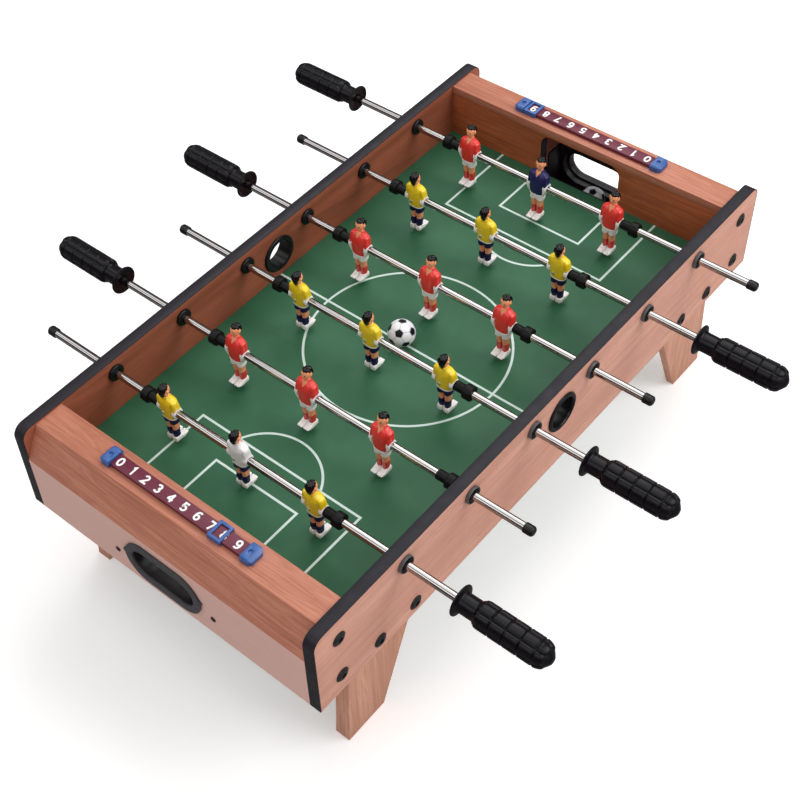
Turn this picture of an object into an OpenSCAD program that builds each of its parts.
// Tabletop foosball game.
// X runs along the table, Y across it (along the rods), Z up.
// The origin is on the ground under the middle of the field.
// The near end is at -X and the front panel is at -Y.

/* [Cabinet] */
// Length of the side panels
cabinet_l = 686; // [660:1:720]
// Width across the outer faces of the side panels
cabinet_w = 361; // [355:1:380]
// Height of the side panels
panel_h = 105; // [103:1:112]
// Thickness of the side panels, goal walls and end boards
board_t = 12; // [10:0.5:14]
// Radius of the panels' top corners
corner_r = 12; // [6:1:18]
// Thickness of the edge band on the panels
band_t = 1; // [0.5:0.1:1.5]

/* [Playing field] */
// Height of the field above the panels' lower edge
field_h = 41; // [39:1:43]
// Thickness of the field board
field_t = 4; // [3:0.5:5]
// Depth of the grooves that hold the field's long edges
field_tongue = 3; // [2:0.5:5]

/* [Ends] */
// Distance from the panels' ends to the top board's outer edge
end_recess = 18; // [16:0.5:20]
// Width of the top board on its upper face
end_top_w = 31.5; // [30:0.5:33]
// Thickness of the top board
end_top_t = 9; // [7:0.5:10]
// Drop of the top board below the panels' upper edge
end_drop = 2; // [1:0.5:4]
// Height of the end board's fold above the panels' lower edge
fold_h = 69; // [66:1:72]

/* [Goals] */
// Width of the goal mouth
mouth_w = 98; // [80:1:110]
// Height of the goal mouth above the field
mouth_h = 51.5; // [40:0.5:52]
// Radius of the mouth's top corners
mouth_r = 12; // [6:1:18]
// Width of the ball window in the end board
window_w = 76; // [72:1:82]
// Height of the ball window
window_h = 34; // [32:1:38]
// Width of the rim around the window
window_rim = 8.5; // [6:0.5:9.5]
// Height of the window's centre above the panels' lower edge
window_z = 34; // [33:0.5:36]

/* [Legs] */
// Height of the panels' lower edge above the ground
leg_h = 124; // [80:1:160]
// Thickness of a leg
leg_t = 16; // [14:1:20]
// Width of a leg at the ground
foot_w = 50; // [40:1:60]
// Distance from the table's middle to a leg's outer corner on the ground
foot_x = 301; // [298:1:310]

/* [Rods] */
// Spacing of the rods
rod_pitch = 91.4; // [91:0.1:93]
// Height of the rods' axes above the field
rod_lift = 47.7; // [46:0.1:49]
// Diameter of a rod
rod_d = 8; // [7:0.5:9]
// Radial running clearance of a rod in its bushings and bumpers
rod_play = 0.05; // [0.02:0.01:0.1]
// Distance from the table's middle to a handle's flange
handle_y = 245; // [240:1:260]
// Length of a handle
handle_l = 91; // [80:1:95]
// Diameter of the handle's grip
grip_d = 26; // [22:0.5:30]
// Distance from the table's middle to the outer end of a rod cap
cap_y = 253.5; // [245:0.5:265]
// How far the rods rest towards the back of the table
rod_rest = 7; // [-20:1:20]

/* [Players] */
// Spacing of the players along a rod
player_gap = 89; // [85:1:95]
// Height of a player's crown above the rod axis
crown_h = 33.5; // [31:0.5:36]
// Depth of a player's soles below the rod axis
sole_h = 42; // [40:0.5:42]

/* [Balls] */
// Diameter of the balls
ball_d = 28; // [24:0.5:28]
// Distance of the match ball from the table's middle line
match_y = 7; // [-60:1:60]
// Distance of the spare ball from the table's middle line
spare_y = -8; // [-14:1:-6]

/* [Score counters] */
// Spacing of the scores 0 to 9 on a score bar
score_step = 15.75; // [15:0.05:16.5]
// Reading at the middle of the near slider
near_score = 7.6; // [0:0.05:9]
// Reading at the middle of the far slider
far_score = 9; // [0:0.05:9]

/* [Hidden] */
$fn = 64;

// Clearance between pieces that are fixed to each other
seat = 0.05;
inner_w = cabinet_w - 2 * board_t;
field_z = leg_h + field_h;
rod_z = field_z + rod_lift;
rod_r = rod_d / 2;

// The ends: X positions and heights of the end boards at +X
end_x = cabinet_l / 2;
top_z = leg_h + panel_h - end_drop;
top_out_x = end_x - end_recess;
goal_x = top_out_x - end_top_w;
fold_z = leg_h + fold_h;
// Run of the sloping face for each millimetre of rise
slope = end_recess / (top_z - fold_z);
// Horizontal thickness of the sloping part of the end board
slope_t = board_t * sqrt(1 + slope * slope);
top_under_z = top_z - end_top_t;
slope_top_x = top_out_x + slope * end_top_t;
inner_fold_z = top_under_z - (end_x - board_t - slope_top_x + slope_t) / slope;

// The goal cup between the field's end and the end board
cup_wall = 2;
cup_w = window_w + 19;
cup_top_z = leg_h + window_z + window_h / 2 + 8;
cup_from_x = goal_x + seat;
cup_to_x = end_x - board_t;
cup_lip_z = field_z - 0.5;
rim_proud = 2;
sleeve_rim = window_rim - 4;
// The window is wider inside than its outer lip
lip_l = 6.5;
flare = sleeve_rim - 1.5;
// Small ears at both ends of the rim
ear_r = 3;
ear_rise = 3.5;

// The screws beside the window
screw_y = window_w / 2 + window_rim + 13.1;
screw_z = leg_h + 25;
screw_r = 1.6;
screw_head_r = 2.8;
screw_head_h = 0.8;
screw_l = 9;
slot_l = 3.2;
slot_w = 0.8;

// The legs and the cleats in the cabinet's corners
leg_top_z = field_z - field_t - 1;
leg_top_out_x = goal_x - 4;
leg_top_w = 104;
leg_chamfer = 7.5;
cleat_w = 15;
cleat_t = 18;
cleat_x = goal_x + board_t + 0.5;
cleat_top_z = leg_h + 82;

// The panel bolts
bolt_r = 3;
bolt_head_r = 7.5;
bolt_head_h = 1.8;
bolt_l = board_t + 14;
cleat_bolt_z = [leg_h + 23.5, leg_h + 79];
leg_bolt_z = leg_h + 14.5;
leg_bolt_x = [215.5, 264];
BOLTS = concat(
    [for (z = cleat_bolt_z) [cleat_x + cleat_w / 2, z]],
    [for (x = leg_bolt_x) [x, leg_bolt_z]]);

// The bushings and the ball entry rings
bushing_r = 6;
bushing_flange_r = 9;
bushing_flange_t = 3.5;
collar_t = 4;
entry_z = leg_h + 70.5;
entry_r = 16;
entry_wall = 2;
entry_flange_r = 21;
entry_flange_t = 2.5;

// The score counters
bar_w = 14;
bar_h = 4;
// How far the bar runs into its brackets
bar_lap = 8;
bracket_l = 12;
bracket_w = 19;
bracket_h = 7;
slider_l = 15;
slider_w = 18.8;
slider_h = 5.8;
pane_l = 9;
pane_w = 13.2;
slide_gap = 0.15;
bar_x = top_out_x - end_top_w / 2;
bar_half_l = 4.5 * score_step + slider_l / 2 + 0.6;

// The rods: odd rods have their handle in front and their players face +X
rod_bore_r = rod_r - 1;
trunk_w = 24;
rod_socket = 60;
cap_r = 5;
cap_l = 10;
cap_wall = 2;
bumper_l = 19.5;
bumper_gap = 0.3;
bumper_y = player_gap + trunk_w / 2 + bumper_gap;
bumper_sleeve_r = 5.1;
bumper_ring_r = 7.75;
function rod_x(n) = (n - 3.5) * rod_pitch;
function rod_side(n) = n % 2 == 1 ? 1 : -1;

// ---- Placing ----

// Extrudes a side view, drawn in X and Z, along Y
module along_y(from, length) {
    translate([0, from + length, 0])
        rotate([90, 0, 0])
            linear_extrude(length) children();
}

// Extrudes an end view, drawn in Y and Z, along X
module along_x(from, length) {
    translate([from, 0, 0])
        rotate([90, 0, 90])
            linear_extrude(length) children();
}

// Turns a piece drawn at the far end, +X, to the end asked for
module at_end(end) {
    rotate([0, 0, end > 0 ? 0 : 180]) children();
}

// Puts a piece drawn about the Y axis on rod n, turned to face its way
module on_rod(n) {
    translate([rod_x(n), rod_rest, rod_z])
        rotate([0, 0, rod_side(n) > 0 ? 0 : 180])
            children();
}

// Turns a piece drawn along Z to point away from the table, at y, on one side
module pointing_out(side) {
    rotate([-side * 90, 0, 0]) children();
}

// Draws a wide slot with round ends
module stadium(w, h) {
    square([w - h, h], center = true);
    for (s = [-1, 1])
        translate([s * (w - h) / 2, 0]) circle(h / 2);
}

// ---- Cabinet ----

// Side view of a panel with round top corners, drawn inside its edge band
module panel_outline(inset) {
    r = corner_r - inset;
    l = cabinet_l - 2 * inset;
    translate([-l / 2, leg_h]) square([l, panel_h - corner_r]);
    translate([r - l / 2, leg_h]) square([l - 2 * r, panel_h - inset]);
    for (s = [-1, 1])
        translate([s * (l / 2 - r), leg_h + panel_h - corner_r]) circle(r);
}

module side_panel(side) {
    y = side > 0 ? inner_w / 2 : -cabinet_w / 2;
    groove_y = side > 0 ? inner_w / 2 - 1 : -inner_w / 2 - field_tongue - seat;
    color("peru")
    difference() {
        along_y(y, board_t)
        difference() {
            panel_outline(band_t);
            for (n = [1 : 6])
                translate([rod_x(n), rod_z]) circle(bushing_r + seat);
            translate([0, entry_z]) circle(entry_r + entry_wall + seat);
            for (end = [-1, 1], b = BOLTS)
                translate([end * b[0], b[1]]) circle(bolt_r + seat);
        }
        translate([-goal_x - seat, groove_y, field_z - field_t - seat])
            cube([2 * (goal_x + seat), field_tongue + 1 + seat, field_t + 2 * seat]);
    }
}

module front_side_panel() { side_panel(-1); }

module back_side_panel() { side_panel(1); }

module edge_bands() {
    color([0.17, 0.18, 0.2])
    for (y = [-cabinet_w / 2, inner_w / 2])
        along_y(y, board_t)
        difference() {
            panel_outline(0);
            panel_outline(band_t);
        }
}

module playing_field() {
    w = inner_w + 2 * field_tongue;
    color("seagreen")
        translate([-goal_x, -w / 2, field_z - field_t])
            cube([2 * goal_x, w, field_t]);
}

// End view of the goal mouth, with the gap below it that the cup fills
module mouth_outline() {
    top = field_z + mouth_h;
    translate([-mouth_w / 2, field_z]) square([mouth_w, mouth_h - mouth_r]);
    translate([mouth_r - mouth_w / 2, field_z]) square([mouth_w - 2 * mouth_r, mouth_h]);
    for (s = [-1, 1])
        translate([s * (mouth_w / 2 - mouth_r), top - mouth_r]) circle(mouth_r);
    translate([-cup_w / 2 - seat, leg_h - 1]) square([cup_w + 2 * seat, field_h + 2]);
}

module goal_wall(end) {
    color("sienna")
    at_end(end)
    along_x(goal_x, board_t)
    difference() {
        translate([-inner_w / 2, leg_h]) square([inner_w, top_under_z - leg_h]);
        mouth_outline();
    }
}

module near_goal_wall() { goal_wall(-1); }

module far_goal_wall() { goal_wall(1); }

module top_board(end) {
    color("burlywood")
    at_end(end)
    along_y(-inner_w / 2, inner_w)
        polygon([[goal_x, top_under_z], [slope_top_x, top_under_z],
            [top_out_x, top_z], [goal_x, top_z]]);
}

module near_top_board() { top_board(-1); }

module far_top_board() { top_board(1); }

// A folded board: upright below the fold and sloping inwards above it
module end_board(end) {
    color("peru")
    at_end(end)
    difference() {
        along_y(-inner_w / 2, inner_w)
            polygon([[end_x, leg_h], [end_x, fold_z], [slope_top_x, top_under_z],
                [slope_top_x - slope_t, top_under_z],
                [end_x - board_t, inner_fold_z], [end_x - board_t, leg_h]]);
        along_x(end_x - board_t - 1, board_t + 2)
            translate([0, leg_h + window_z])
                stadium(window_w + 2 * (sleeve_rim + seat), window_h + 2 * (sleeve_rim + seat));
        for (s = [-1, 1])
            translate([end_x, s * screw_y, screw_z])
                rotate([0, -90, 0]) cylinder(r = screw_r + seat, h = screw_l + 1);
    }
}

module near_end_board() { end_board(-1); }

module far_end_board() { end_board(1); }

// A tray that catches the ball, with a rimmed window to take it out through
module goal_cup(end) {
    tray_l = cup_to_x - cup_from_x;
    rim = 2 * window_rim;
    color([0.1, 0.1, 0.11])
    at_end(end)
    difference() {
        union() {
            along_y(-cup_w / 2, cup_w)
                polygon([[cup_from_x, leg_h], [cup_to_x, leg_h], [cup_to_x, cup_top_z],
                    [goal_x + board_t + 0.5, cup_top_z], [goal_x + board_t + 0.5, cup_lip_z],
                    [cup_from_x, cup_lip_z]]);
            translate([0, 0, leg_h + window_z]) {
                along_x(cup_to_x, board_t)
                    stadium(window_w + 2 * sleeve_rim, window_h + 2 * sleeve_rim);
                along_x(end_x, rim_proud) {
                    stadium(window_w + rim, window_h + rim);
                    for (s = [-1, 1])
                        translate([s * (window_w / 2 + window_rim - 1), ear_rise]) circle(ear_r);
                }
            }
        }
        along_x(cup_from_x + cup_wall, tray_l - 2 * cup_wall)
            translate([cup_wall - cup_w / 2, leg_h + cup_wall])
                square([cup_w - 2 * cup_wall, cup_top_z - leg_h]);
        translate([0, 0, leg_h + window_z])
            along_x(cup_to_x - cup_wall - 1, cup_wall + board_t + rim_proud + 2)
                stadium(window_w, window_h);
        translate([0, 0, leg_h + window_z])
            along_x(cup_to_x - cup_wall - 1, cup_wall + board_t + 1 - lip_l)
                stadium(window_w + 2 * flare, window_h + 2 * flare);
    }
}

module near_goal_cup() { goal_cup(-1); }

module far_goal_cup() { goal_cup(1); }

module cup_screws() {
    color([0.15, 0.1, 0.1])
    for (end = [-1, 1], s = [-1, 1])
        at_end(end)
        translate([end_x, s * screw_y, screw_z])
        rotate([0, 90, 0])
        difference() {
            union() {
                cylinder(r = screw_head_r, h = screw_head_h);
                translate([0, 0, -screw_l]) cylinder(r = screw_r, h = screw_l);
            }
            translate([0, 0, screw_head_h]) cube([slot_w, slot_l, 1], center = true);
            translate([0, 0, screw_head_h]) cube([slot_l, slot_w, 1], center = true);
        }
}

// Blocks inside the four corners that the end bolts screw into
module corner_cleats() {
    h = cleat_top_z - leg_h - 1;
    color("tan")
    for (end = [-1, 1], side = [-1, 1])
    at_end(end)
    difference() {
        translate([cleat_x, side > 0 ? inner_w / 2 - cleat_t : -inner_w / 2, leg_h + 1])
            cube([cleat_w, cleat_t, h]);
        for (z = cleat_bolt_z)
            translate([cleat_x + cleat_w / 2, side * inner_w / 2, z])
                pointing_out(-side) bolt_hole();
    }
}

// ---- Legs and fasteners ----

// Room for a bolt's shank past the panel, drawn inwards from the panel's inner face
module bolt_hole() {
    translate([0, 0, -1]) cylinder(r = bolt_r + seat, h = bolt_l - board_t + 2);
}

// A tapered board leg with a chamfer behind its slanting edge
module leg(side) {
    inner_top_x = leg_top_out_x - leg_top_w;
    inner_foot_x = foot_x - foot_w;
    lean = atan((inner_foot_x - inner_top_x) / leg_top_z);
    difference() {
        along_y(side > 0 ? inner_w / 2 - leg_t : -inner_w / 2, leg_t)
            polygon([[inner_foot_x, 0], [foot_x, 0],
                [leg_top_out_x, leg_top_z], [inner_top_x, leg_top_z]]);
        translate([inner_foot_x, side * (inner_w / 2 - leg_t), 0])
            rotate([0, -lean, 0])
                rotate([0, 0, 45])
                    cube([leg_chamfer * sqrt(2), leg_chamfer * sqrt(2), 4 * leg_top_z],
                        center = true);
        for (x = leg_bolt_x)
            translate([x, side * inner_w / 2, leg_bolt_z])
                pointing_out(-side) bolt_hole();
    }
}

module legs(end) {
    color("peru")
    for (side = [-1, 1])
        at_end(end) leg(side);
}

module near_legs() { legs(-1); }

module far_legs() { legs(1); }

// A button-head bolt with a hexagonal socket, drawn along Z with its head on top
module panel_bolt() {
    difference() {
        union() {
            cylinder(r1 = bolt_head_r, r2 = bolt_head_r - 1.6, h = bolt_head_h);
            translate([0, 0, -bolt_l]) cylinder(r = bolt_r, h = bolt_l + 0.1);
        }
        translate([0, 0, 0.5]) cylinder(r = 2.9, h = bolt_head_h, $fn = 6);
    }
}

module panel_bolts() {
    color([0.12, 0.12, 0.13])
    for (end = [-1, 1], side = [-1, 1], b = BOLTS)
        translate([end * b[0], side * cabinet_w / 2, b[1]])
            pointing_out(side) panel_bolt();
}

// ---- Bushings and ball entry ----

module rod_bushings() {
    color([0.1, 0.1, 0.11])
    for (n = [1 : 6], side = [-1, 1])
        translate([rod_x(n), side * cabinet_w / 2, rod_z])
        pointing_out(side)
        rotate_extrude()
            polygon([[rod_r + rod_play, -board_t - collar_t], [bushing_r, -board_t - collar_t],
                [bushing_r, 0], [bushing_flange_r, 0],
                [bushing_flange_r, bushing_flange_t - 1],
                [bushing_flange_r - 1, bushing_flange_t],
                [rod_r + rod_play, bushing_flange_t]]);
}

module bushing_collars() {
    color([0.12, 0.12, 0.13])
    for (n = [1 : 6], side = [-1, 1])
        translate([rod_x(n), side * inner_w / 2, rod_z])
        pointing_out(-side)
        rotate_extrude()
            polygon([[bushing_r + seat, 0], [bushing_flange_r, 0],
                [bushing_flange_r, collar_t - 1], [bushing_flange_r - 1, collar_t],
                [bushing_r + seat, collar_t]]);
}

// Each entry is a flanged sleeve from outside and a retaining ring inside
module ball_entry_rings() {
    sleeve_r = entry_r + entry_wall;
    color([0.1, 0.1, 0.11])
    for (side = [-1, 1])
        translate([0, side * cabinet_w / 2, entry_z])
        pointing_out(side) {
            rotate_extrude()
                polygon([[entry_r, -board_t - entry_flange_t], [sleeve_r, -board_t - entry_flange_t],
                    [sleeve_r, 0], [entry_flange_r, 0], [entry_flange_r, entry_flange_t - 1],
                    [entry_flange_r - 1, entry_flange_t], [entry_r, entry_flange_t]]);
            translate([0, 0, -board_t - entry_flange_t])
            rotate_extrude()
                polygon([[sleeve_r + seat, 0], [entry_flange_r - 1, 0], [entry_flange_r, 1],
                    [entry_flange_r, entry_flange_t], [sleeve_r + seat, entry_flange_t]]);
        }
}

// ---- Score counters ----

module score_bar(end) {
    color([0.42, 0.13, 0.22])
    at_end(end)
    translate([bar_x - bar_w / 2, -bar_half_l - bar_lap, top_z])
        cube([bar_w, 2 * (bar_half_l + bar_lap), bar_h]);
}

module near_score_bar() { score_bar(-1); }

module far_score_bar() { score_bar(1); }

// Caps over both ends of each bar, with a screw recess on top
module score_brackets() {
    chamfer = 1.5;
    // Run and drop of the sloping outer end, and cut of its corners
    nose = [3.5, 2.5];
    corner = 3;
    color([0.16, 0.33, 0.68])
    for (end = [-1, 1], side = [-1, 1])
    at_end(end)
    translate([bar_x, side * bar_half_l, top_z])
    rotate([0, 0, side > 0 ? 0 : 180])
    difference() {
        intersection() {
            along_y(0, bracket_l)
                polygon([[-bracket_w / 2, 0], [bracket_w / 2, 0],
                    [bracket_w / 2, bracket_h - chamfer], [bracket_w / 2 - chamfer, bracket_h],
                    [chamfer - bracket_w / 2, bracket_h], [-bracket_w / 2, bracket_h - chamfer]]);
            along_x(-bracket_w, 2 * bracket_w)
                polygon([[0, -1], [0, bracket_h + 1], [bracket_l - nose[0], bracket_h + 1],
                    [bracket_l - nose[0], bracket_h], [bracket_l, bracket_h - nose[1]], [bracket_l, -1]]);
            linear_extrude(bracket_h + 1)
                polygon([[-bracket_w / 2, 0], [bracket_w / 2, 0], [bracket_w / 2, bracket_l - corner],
                    [bracket_w / 2 - corner, bracket_l], [corner - bracket_w / 2, bracket_l],
                    [-bracket_w / 2, bracket_l - corner]]);
        }
        translate([-bar_w / 2 - seat, -1, -1])
            cube([bar_w + 2 * seat, bar_lap + 1 + seat, bar_h + 1 + seat]);
        translate([0, bracket_l / 2 - 1, bracket_h - 1.6]) cylinder(r = 2.4, h = 3);
    }
}

// A saddle around the bar with a window over one score
module score_slider(end, score) {
    channel = bar_w / 2 + slide_gap;
    roof = bar_h + slide_gap;
    skirt = 0.4;
    color([0.18, 0.38, 0.74])
    at_end(end)
    translate([bar_x, (score - 4.5) * score_step, top_z])
    difference() {
        along_y(-slider_l / 2, slider_l)
            polygon([[-slider_w / 2, skirt], [-slider_w / 2, slider_h], [slider_w / 2, slider_h],
                [slider_w / 2, skirt], [channel, skirt], [channel, roof],
                [-channel, roof], [-channel, skirt]]);
        translate([-pane_w / 2, -pane_l / 2, roof - 1]) cube([pane_w, pane_l, slider_h]);
    }
}

module near_score_slider() { score_slider(-1, near_score); }

module far_score_slider() { score_slider(1, far_score); }

// ---- Balls ----

module match_ball() {
    color("white")
        translate([0, match_y, field_z + ball_d / 2]) sphere(ball_d / 2);
}

module spare_ball() {
    x = cup_to_x - cup_wall - ball_d / 2 - 0.3;
    color("white")
        translate([x, spare_y, leg_h + cup_wall + ball_d / 2]) sphere(ball_d / 2);
}

// ---- Rods ----

module rod(n) {
    from = -handle_y - rod_socket;
    color("silver")
    on_rod(n)
    along_y(from, cap_y - cap_wall - from)
    difference() {
        circle(rod_r);
        circle(rod_bore_r);
    }
}

// A flanged neck and a ribbed grip with a domed end
module handle(n) {
    neck_r = 9.7;
    flange_r = 15;
    neck_l = 18.5;
    groove = 1.2;
    grip_r = grip_d / 2;
    band = (handle_l - neck_l) / 5.1;
    color([0.1, 0.1, 0.11])
    on_rod(n)
    translate([0, -handle_y, 0])
    pointing_out(-1)
    difference() {
        rotate_extrude() {
            polygon([[0, 0], [flange_r, 0], [flange_r, 1.5], [neck_r + 1.5, 3.5],
                [neck_r, 7], [neck_r, neck_l], [grip_r - 2.5, neck_l], [grip_r - 0.6, neck_l + 4],
                [grip_r - groove, neck_l + 5], [grip_r - groove, handle_l - grip_r],
                [0, handle_l - grip_r]]);
            for (i = [0 : 3])
                translate([0, neck_l + i * band + (i > 0 ? groove : 5)])
                    square([grip_r, band - (i > 0 ? groove : 5)]);
            translate([0, neck_l + 4 * band + groove])
                square([grip_r, handle_l - grip_r - neck_l - 4 * band - groove]);
            translate([0, handle_l - grip_r])
            intersection() {
                circle(grip_r);
                square([grip_r, grip_r]);
            }
        }
        translate([0, 0, -1]) cylinder(r = rod_r + seat, h = rod_socket + 1 + seat);
    }
}

module rod_cap(n) {
    color([0.1, 0.1, 0.11])
    on_rod(n)
    translate([0, cap_y, 0])
    pointing_out(1)
    rotate_extrude()
        polygon([[0, 0], [cap_r - 1, 0], [cap_r, -1], [cap_r, -cap_l], [rod_r + seat, -cap_l],
            [rod_r + seat, -cap_wall], [0, -cap_wall]]);
}

// A rubber bumper along +Z: a sleeve with a thick ring at its outer end
module bumper() {
    bore_r = rod_r + rod_play;
    ring_from = 11;
    round = 1.2;
    color([0.11, 0.11, 0.12])
    rotate_extrude()
        polygon([[bore_r, 0], [bumper_sleeve_r, 0], [bumper_sleeve_r, ring_from],
            [bumper_ring_r - round, ring_from], [bumper_ring_r, ring_from + round],
            [bumper_ring_r, bumper_l - round], [bumper_ring_r - round, bumper_l],
            [bore_r, bumper_l]]);
}

// The bumpers just outside a rod's outer players
module bumpers(n, sides) {
    on_rod(n)
    for (side = sides)
        translate([0, side * bumper_y, 0])
        pointing_out(side)
        bumper();
}

// The second rod's front bumper, pushed out against the front bushing
module loose_bumper() {
    translate([rod_x(2), collar_t + bumper_gap + bumper_l - inner_w / 2, rod_z])
    pointing_out(-1)
    bumper();
}

// ---- Players ----

// A player facing +X, on a rod along Y through the origin
module player() {
    head_r = 6.6;
    neck_r = 3.4;
    leg_r = 3.1;
    leg_y = 3.3;
    waist = trunk_w / 2;
    hip = 7.8;
    shoulder_z = 18;
    hem_z = -9;
    knee_z = -22;
    ankle_z = -35;
    toe_x = 11.5;
    heel_x = -4.5;
    difference() {
        union() {
            // trunk and shorts: a front view crossed with a side view
            intersection() {
                along_x(-10, 20)
                    polygon([[-6, shoulder_z], [-11.5, shoulder_z - 4], [-waist, 3], [-hip, hem_z],
                        [-hip, knee_z], [hip, knee_z], [hip, hem_z], [waist, 3],
                        [11.5, shoulder_z - 4], [6, shoulder_z]]);
                along_y(-13, 26)
                    polygon([[-4.5, shoulder_z], [-7, shoulder_z - 8], [-6.5, 0], [-5.5, hem_z],
                        [-5.5, knee_z], [5.5, knee_z], [6, hem_z], [7, 0], [6, shoulder_z - 8],
                        [3.5, shoulder_z]]);
            }
            // neck and head
            translate([0, 0, shoulder_z - 1]) cylinder(r = neck_r, h = 6);
            translate([0, 0, crown_h - head_r]) sphere(head_r);
            // legs and boots
            for (s = [-1, 1]) {
                translate([0, s * leg_y, ankle_z - 2])
                    cylinder(r = leg_r, h = knee_z - ankle_z + 3);
                along_y(s * leg_y - leg_r, 2 * leg_r)
                    polygon([[heel_x, -sole_h], [6, -sole_h], [toe_x, 3.2 - sole_h],
                        [toe_x, 5 - sole_h], [4.5, ankle_z], [heel_x, ankle_z]]);
            }
        }
        rotate([90, 0, 0]) cylinder(r = rod_r + seat, h = 40, center = true);
    }
}

module players(n, places, shade) {
    color(shade)
    on_rod(n)
    for (i = places)
        translate([0, i * player_gap, 0]) player();
}

KIT_A = [0.94, 0.78, 0.1];
KIT_B = [0.85, 0.15, 0.13];

module near_keeper() { players(1, [0], [0.93, 0.92, 0.88]); }

module far_keeper() { players(6, [0], [0.12, 0.14, 0.4]); }

// ---- Build ----

front_side_panel();
back_side_panel();
edge_bands();
playing_field();
near_goal_wall();
far_goal_wall();
near_top_board();
far_top_board();
near_end_board();
far_end_board();
near_goal_cup();
far_goal_cup();
corner_cleats();
near_legs();
far_legs();
panel_bolts();
cup_screws();
rod_bushings();
bushing_collars();
ball_entry_rings();
near_score_bar();
far_score_bar();
score_brackets();
near_score_slider();
far_score_slider();
match_ball();
spare_ball();
rod(1);  // rod_1
rod(2);  // rod_2
rod(3);  // rod_3
rod(4);  // rod_4
rod(5);  // rod_5
rod(6);  // rod_6
handle(1);  // handle_1
handle(2);  // handle_2
handle(3);  // handle_3
handle(4);  // handle_4
handle(5);  // handle_5
handle(6);  // handle_6
rod_cap(1);  // rod_cap_1
rod_cap(2);  // rod_cap_2
rod_cap(3);  // rod_cap_3
rod_cap(4);  // rod_cap_4
rod_cap(5);  // rod_cap_5
rod_cap(6);  // rod_cap_6
bumpers(1, [-1, 1]);  // bumpers_1
bumpers(2, [-1]);  // bumpers_2
bumpers(3, [-1, 1]);  // bumpers_3
bumpers(4, [-1, 1]);  // bumpers_4
bumpers(5, [-1, 1]);  // bumpers_5
bumpers(6, [-1, 1]);  // bumpers_6
loose_bumper();
players(1, [-1, 1], KIT_A);  // players_1
players(2, [-1, 0, 1], KIT_B);  // players_2
players(3, [-1, 0, 1], KIT_A);  // players_3
players(4, [-1, 0, 1], KIT_B);  // players_4
players(5, [-1, 0, 1], KIT_A);  // players_5
players(6, [-1, 1], KIT_B);  // players_6
near_keeper();
far_keeper();
